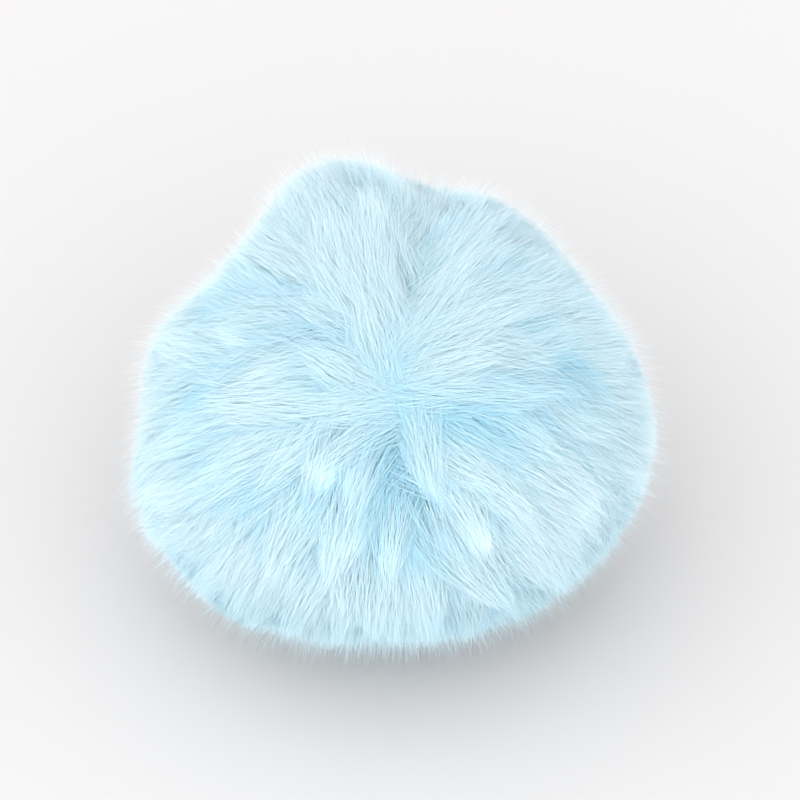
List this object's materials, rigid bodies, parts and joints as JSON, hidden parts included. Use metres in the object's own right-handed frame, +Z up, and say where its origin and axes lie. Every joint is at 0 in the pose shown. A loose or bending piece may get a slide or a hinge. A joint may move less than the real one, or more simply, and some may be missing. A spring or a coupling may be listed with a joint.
{
  "type": "pom pom",
  "caption": "Round fluffy ball of long faux-fur pile with a small flat spot below; a soft trimming for hats, bags, keys and garments.",
  "frame": {"origin": "on the surface that the pom pom rests on, under the middle of its bounding box, inside the flat spot", "axes": "+Z up; +X to the right and -Y to the front, the side whose fur parts from a crown that faces forwards and up"},
  "size_m": [0.0866, 0.084, 0.0783],
  "materials": {
    "fur": "long soft faux-fur pile, pale sky blue with deeper blue between the tufts and near-white tips, matte with a faint sheen"
  },
  "bodies": {
    "root": {"fur_ball": "fur"}
  },
  "joints": []
}
